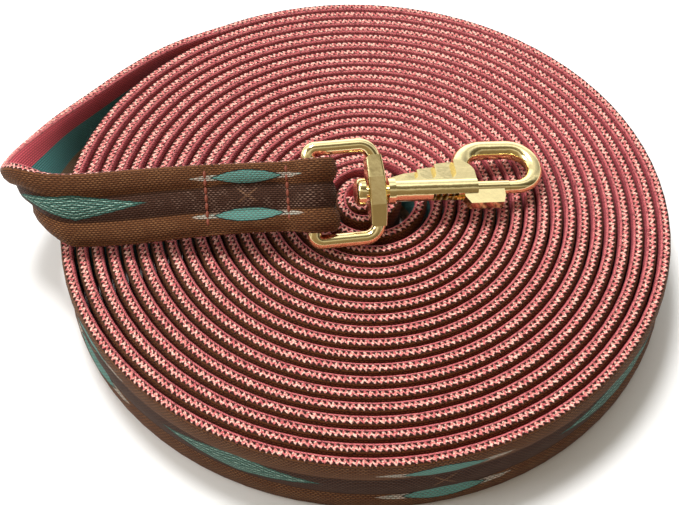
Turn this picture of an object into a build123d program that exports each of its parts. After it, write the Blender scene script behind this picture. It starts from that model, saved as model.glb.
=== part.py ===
from build123d import *
from math import cos, pi, radians, sin
import os

# Training leash: one long flat webbing wound on edge into a flat coil, its sewn end folded round
# the eye of a swivel bolt snap. Millimetres, +Z up. The origin is the coil's centre on the floor.

# webbing
WEB_WIDTH = 25.0
WEB_THICK = 4.2
SEWN_WIDTH = 24.0  # the stitches and the eye draw the sewn end in
LAYER = 4.1  # one layer where the end is sewn flat

# coil: a spiral whose outer turns sit a little off centre and slightly oval
COIL_PITCH = 4.45
COIL_RADIUS = 97.4  # outer radius just after the lead leaves
EXIT_ANGLE = 125.0  # where the lead leaves the outermost turn
SHIFT, SHIFT_ANGLE = 4.1, 218.0
OVAL, OVAL_ANGLE = 1.44, 158.0
CORE_RADIUS = 21.0  # the hand loop is rolled up inside this
CORE_GAP = 0.2
OUTLINE_STEP = 15

# the snap's long axis starts here; the eye's bar, inside the webbing fold, sits a little lower
SNAP_START = Vector(-18.6, -11.45, 40.2)
PIVOT_OFFSET = 0.8
FACE_LEAN = radians(41.0)  # how steeply the webbing's width rises across the coil
STRAP_SLEW = radians(4.4)  # turn of the strap within that leaning face
STRAP_RISE = radians(2.4)  # the strap climbs towards the eye
SNAP_SLEW = radians(2.5)
SNAP_DROP = radians(12.0)  # the snap hangs below the strap's face, down to the coil
EYE_SLACK = radians(3.2)  # the eye sits askew on the rivet, as far as the loose swivel lets it

# swivel eye
ROD = 2.3
EYE_LENGTH = 21.0  # bar centre to bar centre
EYE_HALF = 14.75  # half width between side bar centres
EYE_TIGHT, EYE_ROUND = 2.5, 4.8  # corner radii at the fold and at the swivel
BOSS_INNER, BOSS_OUTER, BOSS_HALF = 18.2, 24.0, 11.4
BOSS_FLAT_HALF, BOSS_THICK, BOSS_END_THICK = 4.5, 6.4, 4.7  # thick in its middle, thinner at its ends
BOSS_CUT, BOSS_EDGE = 1.0, 0.7
RIVET_HOLE = 2.06

# rivet, barrel and hook, along the snap's axis from its start
RIVET_RADIUS = 2.0
HEAD_RADIUS, HEAD_START, HEAD_END = 4.5, 14.2, 17.1
RIVET_END = 31.0
BARREL_START, COLLAR_END, BARREL_END = 24.6, 26.8, 54.0
HEAD_ROUND = 1.6
BARREL_RADIUS, COLLAR_RADIUS = 3.5, 4.3
BORE_RADIUS = 2.38
PLATE_HALF = 3.25
PLATE_START, PLATE_LOW, PLATE_HIGH = 25.2, 2.6, 9.9  # the plate widens in a straight slope
PLATE_SLOPE_END = 46.5
PLATE_FRONT = -0.5  # the plate's flat faces run just past the barrel's middle
HOOK_START, HOOK_REACH = 6.5, 16.5
HOOK_ROOT, HOOK_TIP, HOOK_END = 50.5, 65.0, 75.4
ROOT_BEND, HOOK_BEND = 8.6, 8.0
HOOK_RODS = {0: 3.0, 0.3: 3.1, 0.62: 2.9, 0.85: 2.4, 1: 2.05}  # rod radius against share of the hook
SCOOPS = {32.6: 2.2, 38.3: 2.6, 44.6: 3.0}  # place along the plate, and half width
SCOOP_LOW, SCOOP_TILT = 1.7, 14

# sliding bolt and its spring
BOLT_RADIUS = 2.3
BOLT_START, BOLT_END = 48.0, 64.85
SPIGOT_START, SPIGOT_RADIUS = 44.5, 1.0
THUMB_START, THUMB_END = 49.5, 63.0
THUMB_REACH, THUMB_HALF = 6.7, 1.7
THUMB_SHOULDER, THUMB_SLANT = 3.9, 1.6
THUMB_TURN = radians(8.0)  # the thumb piece and its slot sit below the hook's plane
SLOT_START, SLOT_HALF = 39.2, 1.85
SPRING_START, SPRING_TURNS, SPRING_RADIUS, WIRE_RADIUS = 31.4, 8, 1.85, 0.3
SPRING_GAP = 0.4

# stitching
STITCH_ROWS = {"front": -7.0, "back": -32.8}
STITCH_RISE = 1.3  # the rows sit above the strap's middle
LOOP_ROWS = (100, 140)
LOOP_SEAM = 14.0
STITCH_COUNT, STITCH_PITCH = 6, 3.4
STITCH_LENGTH, THREAD = 2.3, 0.9
STITCH_PROUD = 0.35


def coil_radius(angle):
    """Outer radius of the coil at an angle in degrees, from EXIT_ANGLE to one turn further."""
    grown = COIL_PITCH * (angle - EXIT_ANGLE) / 360
    shift = SHIFT * cos(radians(angle - SHIFT_ANGLE))
    oval = OVAL * cos(2 * radians(angle - OVAL_ANGLE))
    return COIL_RADIUS + grown + shift + oval


def on_circle(radius, angle):
    return (radius * cos(radians(angle)), radius * sin(radians(angle)))


# frames of the sewn end, the eye and the hook
ALONG = Vector(1, 0, 0)
WIDE = Vector(0, cos(FACE_LEAN), sin(FACE_LEAN))
FACING = Vector(0, -sin(FACE_LEAN), cos(FACE_LEAN))
STRAP_LINE = ALONG * cos(STRAP_SLEW) + WIDE * sin(STRAP_SLEW)
SNAP_LINE = ALONG * cos(SNAP_SLEW) + WIDE * sin(SNAP_SLEW)
STRAP_DIR = STRAP_LINE * cos(STRAP_RISE) + FACING * sin(STRAP_RISE)
STRAP_FACE = FACING * cos(STRAP_RISE) - STRAP_LINE * sin(STRAP_RISE)
SNAP_DIR = SNAP_LINE * cos(SNAP_DROP) - FACING * sin(SNAP_DROP)
EYE_FACE = FACING * cos(SNAP_DROP) + SNAP_LINE * sin(SNAP_DROP)
EYE_DIR = SNAP_DIR * cos(EYE_SLACK) + EYE_FACE.cross(SNAP_DIR) * sin(EYE_SLACK)
PIVOT = SNAP_START - EYE_FACE.cross(EYE_DIR) * PIVOT_OFFSET
HOOK_SIDE = Vector(0, 0, 1).cross(SNAP_DIR).normalized()

STRAP = Plane(origin=PIVOT, x_dir=STRAP_DIR, z_dir=STRAP_FACE)
EYE = Plane(origin=PIVOT, x_dir=EYE_DIR, z_dir=EYE_FACE)
HOOK = Plane(origin=SNAP_START, x_dir=SNAP_DIR, z_dir=SNAP_DIR.cross(HOOK_SIDE))
THUMB_FACE = HOOK.z_dir * cos(THUMB_TURN) - HOOK.y_dir * sin(THUMB_TURN)
THUMB = Plane(origin=SNAP_START, x_dir=SNAP_DIR, z_dir=THUMB_FACE)


def across(distance):
    """Plane square to the snap's axis, at a distance from its start."""
    return Plane(origin=SNAP_START + SNAP_DIR * distance, x_dir=HOOK.y_dir, z_dir=SNAP_DIR)


# stitches are laid in rows across the webbing; each thread goes right through both layers
STITCH_THROUGH = 2 * (LAYER + STITCH_PROUD)


def strap_row(place):
    middle = PIVOT + STRAP_DIR * place + STRAP.y_dir * STITCH_RISE
    return Plane(origin=middle, x_dir=STRAP_DIR, z_dir=STRAP_FACE)


def loop_row(turn):
    middle = Vector(*on_circle(LOOP_SEAM, turn), WEB_WIDTH / 2)
    outward = Vector(*on_circle(1, turn), 0)
    return Plane(origin=middle, x_dir=outward.cross(Vector(0, 0, 1)), z_dir=outward)


def sew(row_plane, mode):
    with Locations(row_plane):
        with GridLocations(0, STITCH_PITCH, 1, STITCH_COUNT):
            Box(THREAD, STITCH_LENGTH, STITCH_THROUGH, mode=mode)


# ---------- webbing ----------

with BuildPart() as webbing_coil:
    with BuildSketch():
        with BuildLine():
            angles = [EXIT_ANGLE + k * OUTLINE_STEP for k in range(360 // OUTLINE_STEP + 1)]
            rim = Spline(*[on_circle(coil_radius(a), a) for a in angles])
            Line(rim @ 1, rim @ 0)
        make_face()
        Circle(CORE_RADIUS, mode=Mode.SUBTRACT)
    extrude(amount=WEB_WIDTH)

with BuildPart() as hand_loop:
    with BuildSketch():
        Circle(CORE_RADIUS - CORE_GAP)
    extrude(amount=WEB_WIDTH)
    for turn in LOOP_ROWS:
        sew(loop_row(turn), Mode.SUBTRACT)

# the free lead's two edges, upper and lower, from the coil over the diagonal fold to the sewn end
LEAD_END = 40.0


def strap_edges(distance):
    """Both edges of the strap's upper layer, at a distance back from the pivot."""
    centre = PIVOT - STRAP_DIR * distance + STRAP_FACE * LAYER / 2
    return (centre + STRAP.y_dir * SEWN_WIDTH / 2, centre - STRAP.y_dir * SEWN_WIDTH / 2)


exit_point = on_circle(coil_radius(EXIT_ANGLE + 360) - WEB_THICK / 2, EXIT_ANGLE)
lead_edges = [
    (exit_point + (25.0,), exit_point + (0.0,)),
    ((-71.6, 74.7, 25.0), (-71.6, 74.7, 0.0)),
    ((-87.4, 61.2, 25.2), (-87.4, 61.2, 0.2)),
    ((-100.6, 44.6, 26.6), (-99.8, 44.2, 1.6)),
    ((-108.6, 31.0, 30.0), (-105.4, 29.7, 5.2)),
    ((-114.2, 18.2, 33.6), (-106.6, 14.4, 10.1)),
    ((-118.0, 7.2, 37.0), (-106.4, 2.6, 15.4)),
    ((-118.2, -1.6, 41.2), (-105.8, -6.6, 21.3)),
    ((-114.8, -4.2, 45.0), (-103.6, -13.2, 25.1)),
    ((-105.2, -7.4, 45.8), (-96.8, -23.6, 28.6)),
    ((-92.0, -7.8, 44.8), (-88.6, -24.8, 27.5)),
    strap_edges(56.0),
    strap_edges(LEAD_END),
]
lead_edges = [(Vector(*upper), Vector(*lower)) for upper, lower in lead_edges]
centres = [(upper + lower) * 0.5 for upper, lower in lead_edges]


def lead_direction(k):
    if k == 0:
        return Vector(*on_circle(1, EXIT_ANGLE + 90), 0)
    if k == len(centres) - 1:
        return STRAP_DIR
    return centres[k + 1] - centres[k - 1]


with BuildPart() as webbing_lead:
    for k, (upper, lower) in enumerate(lead_edges):
        across_face = upper - lower
        facing_out = lead_direction(k).cross(across_face)
        thickness = WEB_THICK if k < len(centres) - 2 else LAYER
        with BuildSketch(Plane(origin=centres[k], x_dir=across_face, z_dir=across_face.cross(facing_out))):
            Rectangle(across_face.length, thickness)
    loft(ruled=True)

# the end is folded round the eye's bar, doubled back beneath itself and sewn
FOLD_OUTER, FOLD_TOP = 8.4, 6.5
CAVITY_START, CAVITY_END, CAVITY_HALF = -5.0, 4.8, 2.9
TAIL_END = -38.0
with BuildPart() as webbing_end:
    with BuildSketch(Plane(origin=PIVOT, x_dir=STRAP_DIR, z_dir=-STRAP.y_dir)):
        with BuildLine():
            upper = Line((-LEAD_END, LAYER), (-8.5, LAYER))
            crown = Spline(upper @ 1, (-0.5, FOLD_TOP), (FOLD_OUTER, 0), (-0.5, -FOLD_TOP), (-8.5, -LAYER),
                           tangents=[(1, 0), (-1, 0)])
            Polyline(crown @ 1, (TAIL_END, -LAYER), (TAIL_END, 0), (-LEAD_END, 0), upper @ 0)
        make_face()
        with BuildLine():
            hollow = Spline((CAVITY_START, 0), (0, CAVITY_HALF), (CAVITY_END, 0), (0, -CAVITY_HALF),
                            (CAVITY_START, 0))
        make_face(mode=Mode.SUBTRACT)
    extrude(amount=SEWN_WIDTH / 2, both=True)
    for place in STITCH_ROWS.values():
        sew(strap_row(place), Mode.SUBTRACT)


# ---------- stitching ----------

with BuildPart() as stitch_row_front:
    sew(strap_row(STITCH_ROWS["front"]), Mode.ADD)

with BuildPart() as stitch_row_back:
    sew(strap_row(STITCH_ROWS["back"]), Mode.ADD)

# the hand loop is closed by rows of its own, hidden between its rolled turns
with BuildPart() as loop_stitches:
    for turn in LOOP_ROWS:
        sew(loop_row(turn), Mode.ADD)

# ---------- swivel eye ----------

# the eye's front bar swells into a faceted boss that holds the rivet
with BuildPart() as boss:
    with BuildSketch(EYE.offset(-BOSS_THICK / 2)):
        with BuildLine():
            inner = Line((BOSS_INNER, BOSS_CUT - BOSS_HALF), (BOSS_INNER, BOSS_HALF - BOSS_CUT))
            corner = EYE_LENGTH + ROD
            outer = ThreePointArc((corner, BOSS_HALF), (BOSS_OUTER, 0), (corner, -BOSS_HALF))
            Polyline(inner @ 1, (BOSS_INNER + BOSS_CUT, BOSS_HALF), outer @ 0)
            Polyline(outer @ 1, (BOSS_INNER + BOSS_CUT, -BOSS_HALF), inner @ 0)
        make_face()
    extrude(amount=BOSS_THICK)
    with BuildSketch(Plane(origin=EYE.origin, x_dir=EYE.y_dir, z_dir=EYE.x_dir)):
        flat, thick, thin = BOSS_FLAT_HALF, BOSS_THICK / 2, BOSS_END_THICK / 2
        upper = [(-BOSS_HALF, thin), (-flat, thick), (flat, thick), (BOSS_HALF, thin)]
        with BuildLine():
            Polyline(*upper, *[(x, -z) for x, z in reversed(upper)], close=True)
        make_face()
    extrude(amount=EYE_LENGTH + 2 * ROD, mode=Mode.INTERSECT)
    long_edges = boss.edges().filter_by(lambda e: abs((e.center() - EYE.origin).dot(EYE.z_dir)) > thin - 0.01)
    fillet(long_edges.filter_by(lambda e: e.length > 5), BOSS_EDGE)

with BuildPart() as swivel_eye:
    with BuildLine(EYE) as loop:
        corners = [(EYE_LENGTH, 0), (EYE_LENGTH, EYE_HALF), (0, EYE_HALF), (0, -EYE_HALF),
                   (EYE_LENGTH, -EYE_HALF)]
        FilletPolyline(*corners, close=True, radius=[0, EYE_ROUND, EYE_TIGHT, EYE_TIGHT, EYE_ROUND])
    with BuildSketch(Plane(origin=loop.line @ 0, z_dir=loop.line % 0)):
        Circle(ROD)
    sweep()
    add(boss.part)
    with BuildSketch(across(HEAD_END)):
        Circle(RIVET_HOLE)
    extrude(amount=BARREL_START - HEAD_END, mode=Mode.SUBTRACT)

# ---------- swivel rivet ----------

with BuildPart() as swivel_rivet:
    with BuildSketch(across(HEAD_START)):
        Circle(HEAD_RADIUS)
    head = extrude(amount=HEAD_END - HEAD_START)
    fillet(head.edges().sort_by(lambda e: (e.center() - SNAP_START).dot(SNAP_DIR))[0], HEAD_ROUND)
    with BuildSketch(across(HEAD_END)):
        Circle(RIVET_RADIUS)
    extrude(amount=RIVET_END - HEAD_END)

# ---------- snap body: barrel, finger plate and hook in one casting ----------


def scoop_plane(place, half, side):
    """Tilted floor of a finger scoop: level with the plate's face at its start, deepest at the hook's end."""
    tilt = radians(SCOOP_TILT)
    start = HOOK.origin + HOOK.x_dir * (place - half) + HOOK.z_dir * side * PLATE_HALF
    down_slope = HOOK.x_dir * cos(tilt) - HOOK.z_dir * side * sin(tilt)
    return Plane(origin=start, x_dir=down_slope, z_dir=down_slope.cross(HOOK.y_dir * side))


with BuildPart() as snap_body:
    with BuildSketch(across(BARREL_START)):
        Circle(BARREL_RADIUS)
    extrude(amount=BARREL_END - BARREL_START)
    with BuildSketch(across(BARREL_START)):
        Circle(COLLAR_RADIUS)
    extrude(amount=COLLAR_END - BARREL_START)
    with BuildSketch(HOOK.offset(-PLATE_HALF)):
        with BuildLine():
            slope = Polyline((BARREL_END, PLATE_FRONT), (PLATE_START, PLATE_FRONT), (PLATE_START, PLATE_LOW),
                             (PLATE_SLOPE_END, PLATE_HIGH))
            bow = ThreePointArc(slope @ 1, (BARREL_END - 2.0, PLATE_HIGH - 1.5), (BARREL_END, PLATE_HIGH / 2))
            Line(bow @ 1, slope @ 0)
        make_face()
    extrude(amount=2 * PLATE_HALF)
    with BuildLine(HOOK) as hook_line:
        bends = [(HOOK_ROOT, HOOK_START), (HOOK_ROOT, HOOK_REACH), (HOOK_END, HOOK_REACH), (HOOK_END, 0),
                 (HOOK_TIP, 0)]
        FilletPolyline(*bends, radius=[ROOT_BEND, HOOK_BEND, HOOK_BEND])
    for share, rod in HOOK_RODS.items():
        station = Plane(origin=hook_line.line @ share, x_dir=HOOK.z_dir, z_dir=hook_line.line % share)
        with BuildSketch(station):
            Circle(rod)
    sweep(path=hook_line.line, multisection=True)
    with BuildSketch(across(RIVET_END)):
        Circle(BORE_RADIUS)
    extrude(amount=BARREL_END - RIVET_END, mode=Mode.SUBTRACT)
    with BuildSketch(across(BARREL_START)):
        Circle(RIVET_RADIUS)
    extrude(amount=RIVET_END - BARREL_START, mode=Mode.SUBTRACT)
    with BuildSketch(THUMB.offset(-SLOT_HALF)):
        with Locations(((SLOT_START + BARREL_END) / 2, -COLLAR_RADIUS / 2)):
            Rectangle(BARREL_END - SLOT_START, COLLAR_RADIUS)
    extrude(amount=2 * SLOT_HALF, mode=Mode.SUBTRACT)
    # finger scoops run in from the plate's sloping edge, on both faces
    for side in (1, -1):
        for place, half in SCOOPS.items():
            with BuildSketch(scoop_plane(place, half, side)):
                with Locations((half, side * (SCOOP_LOW + half))):
                    Circle(half)
                with Locations((half, side * (SCOOP_LOW + half + PLATE_HIGH / 2))):
                    Rectangle(2 * half, PLATE_HIGH)
            extrude(amount=PLATE_HALF, mode=Mode.SUBTRACT)

# ---------- sliding bolt with its thumb piece ----------

THUMB_OUTLINE = [(THUMB_START, 0), (THUMB_START, -THUMB_SHOULDER), (THUMB_START + THUMB_SLANT, -THUMB_REACH),
                 (THUMB_END - 1, -THUMB_REACH), (THUMB_END, -THUMB_SHOULDER), (THUMB_END, 0)]

with BuildPart() as snap_bolt:
    with BuildSketch(across(BOLT_START)):
        Circle(BOLT_RADIUS)
    extrude(amount=BOLT_END - BOLT_START)
    with BuildSketch(across(SPIGOT_START)):
        Circle(SPIGOT_RADIUS)
    extrude(amount=BOLT_START - SPIGOT_START)
    with BuildSketch(THUMB.offset(-THUMB_HALF)):
        with BuildLine():
            Polyline(*THUMB_OUTLINE, close=True)
        make_face()
    extrude(amount=2 * THUMB_HALF)

# ---------- bolt spring, between the rivet's end and the bolt ----------

spring_length = BOLT_START - SPRING_GAP - SPRING_START
with BuildPart() as bolt_spring:
    with BuildLine() as coil_line:
        Helix(pitch=spring_length / SPRING_TURNS, height=spring_length, radius=SPRING_RADIUS,
              center=SNAP_START + SNAP_DIR * SPRING_START, direction=SNAP_DIR)
    with BuildSketch(Plane(origin=coil_line.line @ 0, z_dir=coil_line.line % 0)):
        Circle(WIRE_RADIUS)
    sweep(path=coil_line.line, is_frenet=True)


pieces = {
    "webbing_coil": webbing_coil,
    "hand_loop": hand_loop,
    "loop_stitches": loop_stitches,
    "webbing_lead": webbing_lead,
    "webbing_end": webbing_end,
    "swivel_eye": swivel_eye,
    "swivel_rivet": swivel_rivet,
    "snap_body": snap_body,
    "snap_bolt": snap_bolt,
    "bolt_spring": bolt_spring,
    "stitch_row_front": stitch_row_front,
    "stitch_row_back": stitch_row_back,
}

os.makedirs("parts", exist_ok=True)
for piece_name, piece in pieces.items():
    piece.part.label = piece_name
    export_step(piece.part, f"parts/{piece_name}.step")
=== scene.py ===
"""Looks of a training leash: one long webbing wound on edge, its sewn end and a swivel bolt snap."""

import math

import bpy
import numpy as np
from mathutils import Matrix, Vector


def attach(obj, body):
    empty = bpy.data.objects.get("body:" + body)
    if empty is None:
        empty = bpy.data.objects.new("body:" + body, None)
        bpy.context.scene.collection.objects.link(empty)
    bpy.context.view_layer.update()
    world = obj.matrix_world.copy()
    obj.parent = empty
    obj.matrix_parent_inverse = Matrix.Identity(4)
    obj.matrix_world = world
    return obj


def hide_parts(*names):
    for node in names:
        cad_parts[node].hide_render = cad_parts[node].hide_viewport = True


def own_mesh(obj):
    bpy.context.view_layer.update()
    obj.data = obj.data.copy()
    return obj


MM = 0.001

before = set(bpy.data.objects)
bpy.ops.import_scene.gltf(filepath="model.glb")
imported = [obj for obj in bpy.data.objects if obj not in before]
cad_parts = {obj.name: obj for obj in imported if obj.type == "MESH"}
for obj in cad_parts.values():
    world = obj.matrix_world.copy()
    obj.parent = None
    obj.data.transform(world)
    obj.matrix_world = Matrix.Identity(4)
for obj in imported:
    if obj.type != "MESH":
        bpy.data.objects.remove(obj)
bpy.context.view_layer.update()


# ---------------------------------------------------------------- webbing route, in millimetres

WIDTH, THICK, LAYER = 25.0, 4.2, 4.1
PITCH, COIL_RADIUS, EXIT_ANGLE = 4.45, 97.4, 125.0
SHIFT, SHIFT_ANGLE = 4.1, 218.0
OVAL, OVAL_ANGLE = 1.44, 158.0
CORE_RADIUS = 21.0
STEP, CORE_STEP = 4.5, 6.0  # degrees between sections, in the coil's turns and in its core
FREE_STEP = 2.2  # about this far between sections of the free lead and the strap

SNAP_START = np.array([-18.6, -11.45, 40.2])
PIVOT_OFFSET = 0.8
FACE_LEAN, STRAP_SLEW, STRAP_RISE = math.radians(41.0), math.radians(4.4), math.radians(2.4)
SNAP_SLEW, SNAP_DROP, EYE_SLACK = math.radians(2.5), math.radians(12.0), math.radians(3.2)

ALONG = np.array([1.0, 0.0, 0.0])
WIDE = np.array([0.0, math.cos(FACE_LEAN), math.sin(FACE_LEAN)])
FACING = np.array([0.0, -math.sin(FACE_LEAN), math.cos(FACE_LEAN)])
STRAP_LINE = ALONG * math.cos(STRAP_SLEW) + WIDE * math.sin(STRAP_SLEW)
STRAP_DIR = STRAP_LINE * math.cos(STRAP_RISE) + FACING * math.sin(STRAP_RISE)
STRAP_FACE = FACING * math.cos(STRAP_RISE) - STRAP_LINE * math.sin(STRAP_RISE)
STRAP_WIDE = np.cross(STRAP_FACE, STRAP_DIR)
SNAP_LINE = ALONG * math.cos(SNAP_SLEW) + WIDE * math.sin(SNAP_SLEW)
SNAP_DIR = SNAP_LINE * math.cos(SNAP_DROP) - FACING * math.sin(SNAP_DROP)
EYE_FACE = FACING * math.cos(SNAP_DROP) + SNAP_LINE * math.sin(SNAP_DROP)
EYE_DIR = SNAP_DIR * math.cos(EYE_SLACK) + np.cross(EYE_FACE, SNAP_DIR) * math.sin(EYE_SLACK)
PIVOT = SNAP_START - np.cross(EYE_FACE, EYE_DIR) * PIVOT_OFFSET

# the free lead's two edges, from the coil over the diagonal fold to the sewn end
LEAD_EDGES = [
    ((-71.6, 74.7, 25.0), (-71.6, 74.7, 0.0)),
    ((-87.4, 61.2, 25.2), (-87.4, 61.2, 0.2)),
    ((-100.6, 44.6, 26.6), (-99.8, 44.2, 1.6)),
    ((-108.6, 31.0, 30.0), (-105.4, 29.7, 5.2)),
    ((-114.2, 18.2, 33.6), (-106.6, 14.4, 10.1)),
    ((-118.0, 7.2, 37.0), (-106.4, 2.6, 15.4)),
    ((-118.2, -1.6, 41.2), (-105.8, -6.6, 21.3)),
    ((-114.8, -4.4, 44.8), (-104.2, -12.8, 26.0)),
    ((-105.2, -7.6, 45.4), (-97.2, -23.0, 29.3)),
    ((-92.0, -7.8, 44.8), (-89.0, -24.2, 28.2)),
]
# the strap seen from its side: along it and square to its face, round the eye's bar and back
STRAP_ROUTE = [
    (-56.0, 2.05), (-40.0, 2.05), (-28.0, 2.05), (-18.0, 2.05), (-11.5, 2.05), (-7.5, 2.05), (-4.6, 2.7),
    (-1.0, 4.3), (2.6, 3.9), (5.2, 2.4), (6.3, 0.0), (5.2, -2.4), (2.6, -3.9), (-1.0, -4.3),
    (-4.6, -2.7), (-7.5, -2.05), (-11.5, -2.05), (-20.0, -2.05), (-38.0, -2.05),
]
# the strap's width above and below its centre line, drawn in by the stitches and the eye
UPPER_HALF = [(-56.0, 12.4), (-36.0, 12.4), (-20.0, 12.0), (-7.0, 11.6), (0.0, 12.0)]
LOWER_HALF = [(-56.0, 11.4), (-36.0, 10.4), (-20.0, 10.3), (-7.0, 10.6), (0.0, 11.6)]
# the curl at the webbing's inner end, off the coil's centre
CURL_CENTRE = np.array([-2.7, 2.2])
CURL_SIZE = np.array([4.3, 6.0])
CORE_TURNS, CLOSING_TURNS, RING_TURNS = 1.5, 0.42, 0.72


def outline(angle):
    """Outer radius of the coil, angle in degrees, falling by one pitch a turn below EXIT_ANGLE + 360."""
    base = COIL_RADIUS + PITCH * (angle - EXIT_ANGLE) / 360
    fade = (base / 100) ** 2
    shift = SHIFT * np.cos(np.radians(angle - SHIFT_ANGLE))
    oval = OVAL * np.cos(2 * np.radians(angle - OVAL_ANGLE))
    return base + fade * (shift + oval)


def coil_route():
    """Centre line of the coil on the floor plane, from the curl in its core out to where it leaves."""
    last = EXIT_ANGLE + 360
    turns = (COIL_RADIUS + PITCH - CORE_RADIUS) / PITCH
    first = last - 360 * turns
    angle = np.arange(first, last + 0.01, STEP)
    radius = outline(angle) - THICK / 2
    outer = np.stack([radius * np.cos(np.radians(angle)), radius * np.sin(np.radians(angle))], 1)
    # the core: its centre drifts to the curl while its radius shrinks, then one ring round the curl
    sweep = np.arange(-360 * (CORE_TURNS + CLOSING_TURNS + RING_TURNS), -0.1, CORE_STEP)
    turn = -sweep / 360
    share = np.clip(turn / CORE_TURNS, 0, 1)[:, None]
    closing = np.clip((turn - CORE_TURNS) / CLOSING_TURNS, 0, 1)[:, None]
    size = radius[0] + (CURL_SIZE + PITCH - radius[0]) * share - PITCH * closing
    heading = np.radians(first + sweep)
    inner = size * np.stack([np.cos(heading), np.sin(heading)], 1) + CURL_CENTRE * share
    return np.concatenate([inner, outer])


def spline(points, spacing):
    """Natural cubic spline through points, sampled about every `spacing`."""
    points = np.asarray(points, float)
    chord = np.linalg.norm(np.diff(points.reshape(len(points), -1)[:, :3], axis=0), axis=1)
    knots = np.concatenate([[0], np.cumsum(chord)])
    count = len(points)
    system = np.eye(count)
    right = np.zeros_like(points)
    for k in range(1, count - 1):
        before, after = knots[k] - knots[k - 1], knots[k + 1] - knots[k]
        system[k, k - 1:k + 2] = before, 2 * (before + after), after
        right[k] = 6 * ((points[k + 1] - points[k]) / after - (points[k] - points[k - 1]) / before)
    bend = np.linalg.solve(system, right)
    samples = []
    for k in range(count - 1):
        gap = knots[k + 1] - knots[k]
        pieces = max(1, round(gap / spacing))
        for t in np.arange(pieces) / pieces:
            a, b = 1 - t, t
            curve = (a ** 3 - a) * bend[k] + (b ** 3 - b) * bend[k + 1]
            samples.append(a * points[k] + b * points[k + 1] + curve * gap ** 2 / 6)
    samples.append(points[-1])
    return np.array(samples)


def webbing_edges():
    """Upper and lower edge points of the whole webbing, from the curl in the core to the sewn tail."""
    flat = coil_route()
    upper = np.column_stack([flat, np.full(len(flat), WIDTH)])
    lower = np.column_stack([flat, np.zeros(len(flat))])
    joined = [np.concatenate([upper[k], lower[k]]) for k in (-3, -2, -1)]
    joined += [np.concatenate([top, bottom]) for top, bottom in LEAD_EDGES]
    for along, lift in STRAP_ROUTE:
        centre = PIVOT + STRAP_DIR * along + STRAP_FACE * lift
        up = STRAP_WIDE * np.interp(along, *zip(*UPPER_HALF))
        down = STRAP_WIDE * np.interp(along, *zip(*LOWER_HALF))
        joined.append(np.concatenate([centre + up, centre - down]))
    free = spline(joined, FREE_STEP)
    return np.concatenate([upper[:-3], free[:, :3]]), np.concatenate([lower[:-3], free[:, 3:]])


# cross-section: share of the half width, and height over the middle in millimetres
OUTER_FACE = [(-0.95, 1.2), (-0.88, 1.75), (-0.7, 2.15), (-0.52, 1.95), (-0.4, 1.3), (-0.34, 1.0),
              (-0.26, 1.25), (-0.12, 1.6), (0.0, 1.7), (0.12, 1.6), (0.26, 1.25), (0.34, 1.0), (0.4, 1.3),
              (0.52, 1.95), (0.7, 2.15), (0.88, 1.8), (0.94, 1.5)]
EDGE = [(0.975, 1.2), (0.995, 0.85), (1.0, 0.35), (0.99, -0.1), (0.975, -0.35), (0.99, -0.6), (1.0, -1.1),
        (0.985, -1.65)]
INNER_FACE = [(0.94, -2.05), (0.7, -2.1), (0.45, -1.9), (0.2, -2.0), (0.0, -2.05), (-0.2, -2.0),
              (-0.45, -1.9), (-0.7, -2.1), (-0.94, -2.05)]
LOWER_EDGE = [(-share, height) for share, height in reversed(EDGE)]
SECTION = np.array(OUTER_FACE + EDGE + INNER_FACE + LOWER_EDGE)
FACE_KIND = ([0] * (len(OUTER_FACE) - 1) + [2] * (len(EDGE) + 1)
             + [1] * (len(INNER_FACE) - 1) + [2] * (len(EDGE) + 1))

# distance back from the fold round the eye's bar, against the count of woven figures: whole numbers are
# diamonds, halves are pairs of lenses
FIGURE_AT = [(-40.0, -0.1), (28.4, 0.5), (84.0, 1.0), (496.0, 5.0), (561.0, 5.5), (622.0, 6.0),
             (8682.0, 71.0)]

# how strongly the outer face's bands stand out, against the same distance: flattened by the two rows of
# stitches and inside the coil, full between the rows and along the free strap
BULGE_MIDDLE = 1.1
BULGE = [(0.0, 1.3), (10.0, 1.3), (13.8, 0.25), (19.0, 1.2), (28.0, 1.5), (35.0, 1.2), (39.5, 0.25),
         (46.0, 1.3), (60.0, 1.5), (110.0, 1.3), (170.0, 0.7)]
FOLD_AT = 6.3  # where the strap's middle rounds the bar


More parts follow.
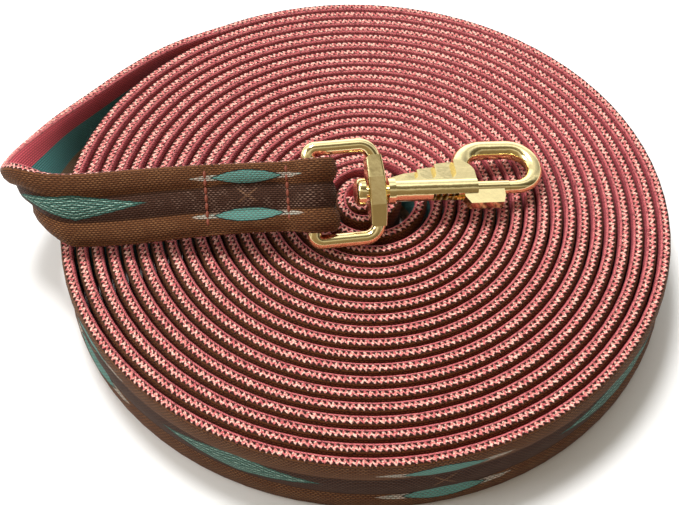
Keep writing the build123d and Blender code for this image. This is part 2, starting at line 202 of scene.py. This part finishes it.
def web_mesh(name, upper, lower):
    """Closed ribbon with the section above, with two UV maps: millimetres, and the woven figure."""
    centre = (upper + lower) / 2
    rise = (upper - lower) / 2
    forward = np.gradient(centre, axis=0)
    out = np.cross(forward, rise)
    out /= np.linalg.norm(out, axis=1)[:, None]
    rows, ring = len(centre), len(SECTION)
    travelled = np.concatenate([[0], np.cumsum(np.linalg.norm(np.diff(centre, axis=0), axis=1))])
    fold = int(np.argmin(np.linalg.norm(centre - (PIVOT + STRAP_DIR * FOLD_AT), axis=1)))
    distance = travelled[fold] - travelled
    bulge = np.interp(np.maximum(distance, 0), *zip(*BULGE))[:, None]
    height = np.repeat(SECTION[None, :, 1], rows, axis=0)
    face = slice(0, len(OUTER_FACE))
    height[:, face] = BULGE_MIDDLE + (height[:, face] - BULGE_MIDDLE) * bulge
    points = centre[:, None, :] + rise[:, None, :] * SECTION[None, :, :1]
    points = points + out[:, None, :] * height[:, :, None]
    vertices = points.reshape(-1, 3) * MM
    i, j = np.meshgrid(np.arange(rows - 1), np.arange(ring), indexing="ij")
    following = (j + 1) % ring
    quads = np.stack([i * ring + j, (i + 1) * ring + j, (i + 1) * ring + following, i * ring + following], -1)
    quads = quads.reshape(-1, 4)
    mesh = bpy.data.meshes.new(name)
    caps = [list(range(ring)), [(rows - 1) * ring + k for k in reversed(range(ring))]]
    mesh.from_pydata(vertices.tolist(), [], quads.tolist() + caps)
    figure = np.interp(distance, *zip(*FIGURE_AT))
    kind = np.array(FACE_KIND)[j.reshape(-1)]
    along = np.stack([i, i + 1, i + 1, i], -1).reshape(-1, 4)
    place = np.stack([j, j, following, following], -1).reshape(-1, 4)
    share = SECTION[place, 0]
    across = np.where(kind[:, None] == 2, SECTION[place, 1], share * WIDTH / 2)
    pad = np.zeros((2 * ring, 2))
    for map_name, coordinate in (("web", distance), ("figure", figure)):
        data = np.stack([coordinate[along], across], -1).reshape(-1, 2)
        layer = mesh.uv_layers.new(name=map_name)
        layer.data.foreach_set("uv", np.concatenate([data, pad]).astype(np.float32).reshape(-1))
    mesh.polygons.foreach_set("material_index", np.concatenate([kind, [2, 2]]).astype(np.int32))
    mesh.shade_smooth()
    webbing = bpy.data.objects.new(name, mesh)
    bpy.context.collection.objects.link(webbing)
    return webbing, travelled[-1]


# ---------------------------------------------------------------- materials

class Shader:
    """A node material with short names for the sums its pattern needs."""

    def __init__(self, name):
        self.material = bpy.data.materials.new(name)
        self.material.use_nodes = True
        self.nodes = self.material.node_tree.nodes
        self.links = self.material.node_tree.links
        self.surface = self.nodes["Principled BSDF"]

    def put(self, socket, value):
        if isinstance(value, bpy.types.NodeSocket):
            self.links.new(value, socket)
        else:
            socket.default_value = value

    def sum(self, operation, *values):
        node = self.nodes.new("ShaderNodeMath")
        node.operation = operation
        for socket, value in zip(node.inputs, values):
            self.put(socket, value)
        return node.outputs[0]

    def uv(self, name):
        node = self.nodes.new("ShaderNodeUVMap")
        node.uv_map = name
        parts = self.nodes.new("ShaderNodeSeparateXYZ")
        self.links.new(node.outputs[0], parts.inputs[0])
        return parts.outputs[0], parts.outputs[1]

    def noise(self, scale, detail=2.0, vector=None):
        node = self.nodes.new("ShaderNodeTexNoise")
        node.inputs["Scale"].default_value = scale
        node.inputs["Detail"].default_value = detail
        if vector is None:
            vector = self.nodes.new("ShaderNodeTexCoord").outputs["Object"]
        self.links.new(vector, node.inputs["Vector"])
        return node.outputs["Fac"]

    def mix(self, share, first, second, blend="MIX"):
        node = self.nodes.new("ShaderNodeMix")
        node.data_type = "RGBA"
        node.blend_type = blend
        self.put(node.inputs["Factor"], share)
        colour_sockets = [s for s in node.inputs if s.type == "RGBA"]
        for socket, value in zip(colour_sockets, (first, second)):
            self.put(socket, value if isinstance(value, bpy.types.NodeSocket) else (*value, 1.0))
        return [s for s in node.outputs if s.type == "RGBA"][0]

    def below(self, value, edge, soft):
        """1 where value is under edge, fading over soft."""
        return self.clamp(self.sum("MULTIPLY", self.sum("SUBTRACT", edge, value), 1 / soft))

    def centred_noise(self, scale, spread):
        """Noise about zero, spread wide from its lowest to its highest."""
        return self.sum("MULTIPLY", self.sum("SUBTRACT", self.noise(scale), 0.5), spread)

    def clamp(self, value):
        node = self.nodes.new("ShaderNodeClamp")
        self.links.new(value, node.inputs[0])
        return node.outputs[0]

    def bump(self, height, distance, strength=1.0):
        node = self.nodes.new("ShaderNodeBump")
        node.inputs["Distance"].default_value = distance
        node.inputs["Strength"].default_value = strength
        self.links.new(height, node.inputs["Height"])
        self.links.new(node.outputs[0], self.surface.inputs["Normal"])

    def weave(self, along, across, length, pitch):
        """Height of rows of short threads, each row shifted half a thread from the next."""
        lane = self.sum("DIVIDE", across, pitch)
        shifted = self.sum("MULTIPLY", self.sum("FLOOR", lane), 0.5)
        run = self.sum("FRACT", self.sum("ADD", self.sum("DIVIDE", along, length), shifted))
        crown = self.sum("SINE", self.sum("MULTIPLY", run, math.pi))
        round_row = self.sum("SINE", self.sum("MULTIPLY", self.sum("FRACT", lane), math.pi))
        return self.sum("MULTIPLY", self.sum("POWER", crown, 0.5), round_row)


# colours are linear light
BROWN, DARK_BROWN = (0.142, 0.052, 0.016), (0.068, 0.027, 0.014)
# painted highlight: the lighter colours given to the thread crowns on the brown bands and on the dark middle
CROWN_HIGHLIGHT_BROWN, CROWN_HIGHLIGHT_DARK = (0.225, 0.102, 0.038), (0.27, 0.165, 0.12)
TEAL, PALE_TEAL, DARK_TEAL = (0.065, 0.17, 0.135), (0.36, 0.56, 0.47), (0.03, 0.10, 0.085)
LENS_TEAL, LENS_PALE = (0.10, 0.29, 0.25), (0.50, 0.75, 0.67)
FACE_CORAL, FACE_TEAL = (0.68, 0.11, 0.14), (0.08, 0.26, 0.25)
# RIB_CREST_HIGHLIGHT is a painted highlight on the crests of the rib's strands
RIB_DARK, RIB_CREST_HIGHLIGHT = (0.46, 0.060, 0.075), (0.70, 0.27, 0.26)
STRAND_CORAL, STRAND_PINK, STRAND_CREAM = (0.56, 0.12, 0.125), (0.66, 0.20, 0.18), (0.90, 0.60, 0.48)
TAN, CREAM = (0.33, 0.17, 0.085), (0.83, 0.53, 0.43)
# HOLE_AND_SHADE is near black, for dark holes and for painted shade in the bands' groove
MAROON, HOLE_AND_SHADE, STRAND_HOLE = (0.060, 0.008, 0.010), (0.014, 0.004, 0.003), (0.030, 0.009, 0.006)
WHITE, THREAD_SHADE = (1.0, 1.0, 1.0), (0.26, 0.22, 0.20)

# the woven figures: sizes across are in millimetres, sizes along are shares of one figure's repeat
PATTERN_RISE = 1.0  # the figures are woven a little above the webbing's middle
DIAMOND_REACH, DIAMOND_HALF = 0.215, 4.4
LENS_LANE, LENS_REACH, LENS_HALF = 6.6, 0.098, 2.3
TAIL_REACH, TAIL_HALF = 0.165, 1.0
CROSS_REACH, CROSS_HALF = 0.045, 4.0
DARK_HALF, DARK_SWELL = 3.9, 1.1  # the dark middle band, and how much wider it is between two lenses

# the weave, in millimetres: the length and width of one thread, and how far back from the fold the painted
# highlight on thread crowns shows in the dark middle
FACE_THREAD, INNER_THREAD = (1.45, 0.72), (1.5, 0.8)
CROWN_HIGHLIGHT_TO, CROWN_HIGHLIGHT_FADE = 62.0, 20.0
CROWN_HIGHLIGHT_HIDDEN = 0.88  # how much of that painted highlight is hidden beyond that

# the woven edge, in millimetres
STRAND_STEP, STRAND_LANE, RIB_STEP = 1.85, 1.05, 0.93
RIB_FROM, RIB_SHADOW_FROM, CORNER_FROM = -1.0, -1.6, 0.95  # heights over the webbing's middle


def cloth_finish(shader, colour, height, distance):
    shader.put(shader.surface.inputs["Base Color"], colour)
    shader.surface.inputs["Roughness"].default_value = 0.72
    shader.surface.inputs["Sheen Weight"].default_value = 0.04
    shader.surface.inputs["Sheen Roughness"].default_value = 0.4
    shader.surface.inputs["Specular IOR Level"].default_value = 0.15
    shader.bump(height, distance)


def woven_figures(s, across, figure):
    """Fields under 1 in a diamond, a lens and its tails, the crossed threads, and the way to a lens pair."""
    raised = s.sum("ABSOLUTE", s.sum("SUBTRACT", across, PATTERN_RISE))
    near_whole = s.sum("ABSOLUTE", s.sum("SUBTRACT", s.sum("FRACT", s.sum("ADD", figure, 0.5)), 0.5))
    near_half = s.sum("ABSOLUTE", s.sum("SUBTRACT", s.sum("FRACT", figure), 0.5))
    ragged = s.centred_noise(700.0, 0.12)
    diamond = s.sum("ADD", s.sum("DIVIDE", near_whole, DIAMOND_REACH), s.sum("DIVIDE", raised, DIAMOND_HALF))
    diamond = s.sum("ADD", diamond, s.sum("MULTIPLY", ragged, 0.4))
    off_lane = s.sum("ABSOLUTE", s.sum("SUBTRACT", raised, LENS_LANE))
    lens_end = s.sum("POWER", s.sum("DIVIDE", near_half, LENS_REACH), 2.0)
    lens = s.sum("ADD", s.sum("ADD", s.sum("DIVIDE", off_lane, LENS_HALF), lens_end), ragged)
    tail = s.sum("ADD", s.sum("DIVIDE", off_lane, TAIL_HALF), s.sum("MULTIPLY", ragged, 4.0))
    tail = s.sum("ADD", tail, s.sum("POWER", s.sum("DIVIDE", near_half, TAIL_REACH), 6.0))
    arm = s.sum("DIVIDE", near_half, CROSS_REACH)
    off_cross = s.sum("ABSOLUTE", s.sum("SUBTRACT", s.sum("DIVIDE", raised, CROSS_HALF), arm))
    cross = s.sum("MULTIPLY", s.below(off_cross, 0.14, 0.12), s.below(near_half, 0.03, 0.01))
    return diamond, lens, tail, cross, near_half


def plain_bands(s, along, side, height, near_half):
    """Brown bands and dark middle, pale thread crowns as painted highlight, a groove between as painted
    shade.
    """
    swell = s.sum("MULTIPLY", s.below(near_half, 0.13, 0.06), -DARK_SWELL)
    band = s.sum("ADD", side, swell)
    middle = s.below(band, DARK_HALF, 0.25)
    far = s.sum("SUBTRACT", 1.0, s.below(along, CROWN_HIGHLIGHT_TO, CROWN_HIGHLIGHT_FADE))
    hidden = s.sum("MULTIPLY", middle, s.sum("MULTIPLY", far, CROWN_HIGHLIGHT_HIDDEN))
    # painted highlight: the thread crowns are lightened, and in the dark middle mostly only near the fold
    crown = s.below(s.sum("SUBTRACT", 1.0, height), 0.30, 0.25)
    crown = s.sum("MULTIPLY", crown, s.below(s.noise(260.0), 0.56, 0.14))
    crown = s.sum("MULTIPLY", crown, s.sum("SUBTRACT", 1.0, hidden))
    colour = s.mix(middle, BROWN, DARK_BROWN)
    colour = s.mix(crown, colour, s.mix(middle, CROWN_HIGHLIGHT_BROWN, CROWN_HIGHLIGHT_DARK))
    # painted shade: the bands' edge next to the dark middle is darkened towards near black
    groove_shade = s.below(s.sum("ABSOLUTE", s.sum("SUBTRACT", band, DARK_HALF + 0.1)), 0.5, 0.5)
    return s.mix(s.sum("MULTIPLY", groove_shade, 0.75), colour, HOLE_AND_SHADE)


def outer_face_material():
    """Brown bands over a dark middle, with teal diamonds and pairs of teal lenses woven in."""
    s = Shader("webbing_outer")
    along, across = s.uv("web")
    figure, _ = s.uv("figure")
    side = s.sum("ABSOLUTE", across)
    height = s.weave(along, s.sum("ADD", across, s.centred_noise(900.0, 0.25)), *FACE_THREAD)
    diamond, lens, tail, cross, near_half = woven_figures(s, across, figure)
    colour = plain_bands(s, along, side, height, near_half)
    colour = s.mix(s.sum("MULTIPLY", cross, 0.55), colour, TAN)
    colour = s.mix(s.below(tail, 1.0, 0.1), colour, s.mix(s.noise(1100.0), LENS_TEAL, CREAM))
    # a diamond is four nested outlines, pale inside and dark outside
    outline = s.sum("FRACT", s.sum("MULTIPLY", diamond, 4.0))
    teal = s.mix(s.below(outline, 0.30, 0.12), TEAL, PALE_TEAL)
    teal = s.mix(s.below(s.sum("SUBTRACT", 1.0, outline), 0.30, 0.1), teal, DARK_TEAL)
    colour = s.mix(s.below(diamond, 1.0, 0.03), colour, teal)
    colour = s.mix(s.below(lens, 1.14, 0.05), colour, HOLE_AND_SHADE)
    colour = s.mix(s.below(lens, 1.0, 0.05), colour, s.mix(s.below(height, 0.35, 0.2), LENS_TEAL, LENS_PALE))
    near_rim = s.below(s.sum("SUBTRACT", WIDTH / 2, side), 0.75, 0.1)
    colour = s.mix(s.sum("MULTIPLY", near_rim, s.below(height, 0.5, 0.1)), colour, CREAM)
    # painted shade: the whole colour is darkened where the weave is low, between the threads
    shade = s.mix(s.below(s.sum("MULTIPLY", height, -1.0), -0.25, 0.5), THREAD_SHADE, WHITE)
    cloth_finish(s, s.mix(0.92, colour, shade, "MULTIPLY"), height, 0.00022)
    return s.material


def inner_face_material():
    """Three plain bands, coral above teal above tan, in a fine dotted weave with painted shade between
    threads.
    """
    s = Shader("webbing_inner")
    along, across = s.uv("web")
    height = s.weave(along, across, *INNER_THREAD)
    below_coral = s.below(across, 5.2, 0.3)
    colour = s.mix(below_coral, FACE_CORAL, FACE_TEAL)
    colour = s.mix(s.below(across, -5.0, 0.3), colour, TAN)
    # painted shade: maroon and dark teal where the weave is low, between the threads
    colour = s.mix(s.below(height, 0.35, 0.3), colour, s.mix(below_coral, MAROON, DARK_TEAL))
    cloth_finish(s, colour, height, 0.00018)
    return s.material


def edge_material():
    """The woven edge: coral rib with painted highlight and shade, slanted pink and cream strands over dark
    holes, brown outer corner.
    """
    s = Shader("webbing_edge")
    along, depth = s.uv("web")
    lane = s.sum("DIVIDE", s.sum("ADD", depth, 0.05), STRAND_LANE)
    step = s.sum("DIVIDE", s.sum("ADD", along, s.centred_noise(420.0, 1.3)), STRAND_STEP)
    step = s.sum("ADD", step, s.sum("MULTIPLY", lane, 0.22))
    # strands run in a zigzag from -1 to 1 and back, once a step
    wave = s.sum("ABSOLUTE", s.sum("SUBTRACT", s.sum("FRACT", step), 0.5))
    zigzag = s.sum("SUBTRACT", s.sum("MULTIPLY", wave, 4.0), 1.0)
    offset = s.sum("ABSOLUTE", s.sum("SUBTRACT", lane, s.sum("MULTIPLY", zigzag, 0.6)))
    thread_noise = s.noise(1500.0, 1.0)
    worn = s.sum("ADD", offset, s.sum("MULTIPLY", s.sum("SUBTRACT", thread_noise, 0.5), 0.9))
    strand = s.below(worn, 0.82, 0.36)
    every_other = s.below(s.sum("FRACT", s.sum("MULTIPLY", step, 0.5)), 0.5, 0.1)
    hue = s.mix(every_other, STRAND_PINK, STRAND_CORAL)
    hue = s.mix(s.sum("MULTIPLY", s.below(thread_noise, 0.50, 0.12), 0.85), hue, STRAND_CREAM)
    braid = s.mix(strand, STRAND_HOLE, hue)
    leaning = s.sum("ADD", along, s.sum("MULTIPLY", depth, 1.2))
    ridge = s.sum("SINE", s.sum("MULTIPLY", s.sum("FRACT", s.sum("DIVIDE", leaning, RIB_STEP)), math.pi))
    # painted highlight: the rib is lighter on the crest of each slanted strand, by a random amount
    rib = s.mix(s.sum("MULTIPLY", ridge, s.noise(900.0)), RIB_DARK, RIB_CREST_HIGHLIGHT)
    rib = s.mix(s.sum("MULTIPLY", s.below(s.noise(1300.0), 0.46, 0.08), 0.65), rib, MAROON)
    # painted shade: the rib turns maroon low down, in the gap between the coil's turns
    rib = s.mix(s.sum("MULTIPLY", s.below(depth, RIB_SHADOW_FROM, 0.35), 0.62), rib, MAROON)
    colour = s.mix(s.below(depth, RIB_FROM, 0.25), braid, rib)
    corner = s.below(s.sum("MULTIPLY", depth, -1.0), -CORNER_FROM, 0.3)
    colour = s.mix(corner, colour, s.mix(s.below(thread_noise, 0.42, 0.1), BROWN, HOLE_AND_SHADE))
    height = s.sum("ADD", strand, s.sum("MULTIPLY", ridge, 0.25))
    cloth_finish(s, colour, height, 0.0004)
    return s.material


def thread_material():
    s = Shader("thread")
    s.put(s.surface.inputs["Base Color"], s.mix(s.noise(2500.0), (0.12, 0.020, 0.010), (0.30, 0.070, 0.030)))
    s.surface.inputs["Roughness"].default_value = 0.6
    s.bump(s.noise(3500.0), 0.0001)
    return s.material


def metal_material(name, colour, roughness, grain, grain_depth):
    s = Shader(name)
    s.surface.inputs["Metallic"].default_value = 1.0
    s.surface.inputs["Base Color"].default_value = (*colour, 1.0)
    smear = s.sum("MULTIPLY", s.noise(60.0, 3.0), 0.12)
    s.put(s.surface.inputs["Roughness"], s.sum("ADD", smear, roughness - 0.06))
    s.bump(s.noise(grain, 2.0), grain_depth, 0.6)
    return s.material


# ---------------------------------------------------------------- webbing

upper_edge, lower_edge = webbing_edges()
webbing, webbing_length = web_mesh("webbing", upper_edge, lower_edge)
for make in (outer_face_material, inner_face_material, edge_material):
    webbing.data.materials.append(make())
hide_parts("webbing_coil", "hand_loop", "webbing_lead", "webbing_end")
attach(webbing, "webbing")

# ---------------------------------------------------------------- stitches of the sewn end and hand loop

STITCH_COUNT, STITCH_PITCH, STITCH_RISE = 7, 2.5, 1.5
STITCH_HALF = np.array([0.55, 1.25, 0.5])
STITCH_SIDES, STITCH_RINGS, STITCH_END = 10, 7, 1.35  # the last ring's angle from the middle, in radians
ROW_PLACES = {"stitch_row_front": -7.0, "stitch_row_back": -32.8}  # along the strap, from the pivot
SEWN_BULGE, COIL_BULGE, THREAD_LIFT = 0.3, 0.7, 0.16
LOOP_SEAM, LOOP_ROWS = 14.0, (100.0, 140.0)


def outer_height(across, bulge):
    """Height of the webbing's outer face over its middle, at a distance across from its centre line."""
    face = np.interp(across / (WIDTH / 2), *zip(*OUTER_FACE))
    return BULGE_MIDDLE + (face - BULGE_MIDDLE) * bulge


def strap_row(place):
    """Centres and directions of the stitches on both sides of the sewn end."""
    axes = np.stack([STRAP_DIR, STRAP_WIDE, STRAP_FACE])
    centres = []
    for side in (1, -1):
        for k in range(STITCH_COUNT):
            across = STITCH_RISE + (k - (STITCH_COUNT - 1) / 2) * STITCH_PITCH
            height = side * (LAYER / 2 + outer_height(across, SEWN_BULGE) + THREAD_LIFT)
            centres.append(PIVOT + np.array([place, across, height]) @ axes)
    return centres, axes


def core_row(turn):
    """The same for a row on the turn of webbing nearest to the hand loop's seam."""
    middle = (upper_edge + lower_edge) / 2
    seam = LOOP_SEAM * np.array([math.cos(math.radians(turn)), math.sin(math.radians(turn))])
    near = int(np.argmin(np.linalg.norm(middle[:, :2] - seam, axis=1)))
    forward = middle[near + 1] - middle[near - 1]
    forward /= np.linalg.norm(forward)
    wide = np.array([0.0, 0.0, 1.0])
    axes = np.stack([forward, wide, np.cross(forward, wide)])
    centres = []
    for k in range(STITCH_COUNT):
        across = (k - (STITCH_COUNT - 1) / 2) * STITCH_PITCH
        for height in (outer_height(across, COIL_BULGE), INNER_FACE[0][1]):
            centres.append(middle[near] + np.array([0.0, across, height]) @ axes)
    return centres, axes


def stitches(name, rows):
    """One mesh of rounded stitches, each at its centre and along its row."""
    turn = np.arange(STITCH_SIDES) * math.tau / STITCH_SIDES
    around, along = np.meshgrid(turn, np.linspace(-STITCH_END, STITCH_END, STITCH_RINGS))
    round_part = np.stack([np.cos(around) * np.cos(along), np.sin(along), np.sin(around) * np.cos(along)], -1)
    ball = round_part.reshape(-1, 3) * STITCH_HALF
    vertices, faces = [], []
    for centres, axes in rows:
        for centre in centres:
            first = len(vertices)
            vertices += (centre + ball @ axes).tolist()
            for ring in range(STITCH_RINGS - 1):
                here = first + ring * STITCH_SIDES
                beyond = here + STITCH_SIDES
                for step in range(STITCH_SIDES):
                    after = (step + 1) % STITCH_SIDES
                    faces.append((here + step, here + after, beyond + after, beyond + step))
            last = first + (STITCH_RINGS - 1) * STITCH_SIDES
            faces.append(tuple(first + step for step in reversed(range(STITCH_SIDES))))
            faces.append(tuple(last + step for step in range(STITCH_SIDES)))
    mesh = bpy.data.meshes.new(name)
    mesh.from_pydata((np.array(vertices) * MM).tolist(), [], faces)
    mesh.shade_smooth()
    sewing = bpy.data.objects.new(name, mesh)
    bpy.context.collection.objects.link(sewing)
    return sewing


thread = thread_material()
sewing_rows = {node: [strap_row(place)] for node, place in ROW_PLACES.items()}
sewing_rows["loop_stitches"] = [core_row(turn) for turn in LOOP_ROWS]
for node, rows in sewing_rows.items():
    sewing = stitches(node + "_thread", rows)
    sewing.data.materials.append(thread)
    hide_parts(node)
    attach(sewing, "webbing")

# ---------------------------------------------------------------- snap finishes and spring

GOLD = (0.92, 0.77, 0.40)
finishes = {
    "swivel_eye": metal_material("gold_eye", GOLD, 0.14, 250.0, 0.0001),
    "swivel_rivet": metal_material("gold_rivet", GOLD, 0.12, 250.0, 0.0001),
    "snap_body": metal_material("gold_body", GOLD, 0.16, 300.0, 0.0002),
    "snap_bolt": metal_material("gold_bolt", GOLD, 0.16, 250.0, 0.0001),
}
for node, finish in finishes.items():
    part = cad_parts[node]
    part.data.materials.clear()
    part.data.materials.append(finish)

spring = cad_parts["bolt_spring"].copy()
spring.data = spring.data.copy()
spring.name = "spring_wire"
bpy.context.collection.objects.link(spring)
spring.data.materials.clear()
spring.data.materials.append(metal_material("spring_steel", (0.62, 0.62, 0.62), 0.3, 300.0, 0.0001))
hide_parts("bolt_spring")
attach(spring, "snap")
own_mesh(spring)

# ---------------------------------------------------------------- floor, light and camera

floor_mesh = bpy.data.meshes.new("floor")
floor_mesh.from_pydata([(-3, -3, 0), (3, -3, 0), (3, 3, 0), (-3, 3, 0)], [], [(0, 1, 2, 3)])
floor = bpy.data.objects.new("floor", floor_mesh)
floor.location.z = -0.0002
bpy.context.collection.objects.link(floor)
paper = Shader("paper")
paper.surface.inputs["Base Color"].default_value = (0.93, 0.93, 0.93, 1.0)
paper.surface.inputs["Roughness"].default_value = 0.9
floor_mesh.materials.append(paper.material)


def area_light(name, place, aim, size, power, colour=(1.0, 1.0, 1.0)):
    lamp = bpy.data.lights.new(name, "AREA")
    lamp.shape, lamp.size, lamp.energy, lamp.color = "DISK", size, power, colour
    light = bpy.data.objects.new(name, lamp)
    light.location = place
    light.rotation_euler = (Vector(aim) - Vector(place)).to_track_quat("-Z", "Y").to_euler()
    bpy.context.collection.objects.link(light)


area_light("key", (-0.20, 0.35, 1.15), (0.0, 0.0, 0.0), 0.35, 12.5)
area_light("fill", (-1.0, -0.1, 0.9), (0.0, 0.0, 0.0), 0.8, 7.0)


# the room's light from front to back: warm and dim by the camera, dark at its sides, white behind
ROOM = [
    (0.0, (0.30, 0.23, 0.14)),
    (0.19, (0.42, 0.32, 0.20)),
    (0.25, (0.95, 0.90, 0.80)),
    (0.309, (0.9, 0.84, 0.72)),
    (0.327, (0.34, 0.285, 0.195)),
    (0.38, (0.08, 0.06, 0.04)),
    (0.45, (0.36, 0.31, 0.21)),
    (0.53, (0.20, 0.17, 0.12)),
    (0.59, (0.8, 0.8, 0.78)),
    (0.66, (2.2, 2.2, 2.1)),
    (0.77, (0.95, 0.95, 0.93)),
    (0.86, (0.95, 0.95, 0.93)),
    (0.93, (2.2, 2.2, 2.2)),
]
ROOM_SIDE = (0.2, 0.7, 0.9, 0.45)  # from and to along X, and the light's strength there


def studio_world():
    """Light that changes from front to back, so polished metal shows bands."""
    world = bpy.data.worlds.new("studio")
    world.use_nodes = True
    nodes, links = world.node_tree.nodes, world.node_tree.links
    place = nodes.new("ShaderNodeTexCoord")
    parts = nodes.new("ShaderNodeSeparateXYZ")
    spread = nodes.new("ShaderNodeMapRange")
    ramp = nodes.new("ShaderNodeValToRGB")
    spread.inputs["From Min"].default_value = -1.0
    spread.inputs["From Max"].default_value = 1.0
    while len(ramp.color_ramp.elements) < len(ROOM):
        ramp.color_ramp.elements.new(0.5)
    for element, (position, colour) in zip(ramp.color_ramp.elements, ROOM):
        element.position = position
        element.color = (*colour, 1.0)
    links.new(place.outputs["Generated"], parts.inputs[0])
    links.new(parts.outputs[1], spread.inputs["Value"])
    links.new(spread.outputs[0], ramp.inputs["Fac"])
    side = nodes.new("ShaderNodeMapRange")
    for socket, value in zip(("From Min", "From Max", "To Min", "To Max"), ROOM_SIDE):
        side.inputs[socket].default_value = value
    links.new(parts.outputs[0], side.inputs["Value"])
    links.new(side.outputs[0], nodes["Background"].inputs["Strength"])
    links.new(ramp.outputs["Color"], nodes["Background"].inputs["Color"])
    return world


bpy.context.scene.world = studio_world()
bpy.context.scene.view_settings.view_transform = "Standard"

camera_data = bpy.data.cameras.new("camera")
camera_data.lens = 67.23
camera_data.sensor_width = 36.0
camera_data.clip_start = 0.01
camera = bpy.data.objects.new("camera", camera_data)
camera.location = (0.0, -0.2742, 0.34197)
camera.rotation_euler = tuple(math.radians(a) for a in (38.421, 0.7009, 1.286))
bpy.context.collection.objects.link(camera)
bpy.context.scene.camera = camera
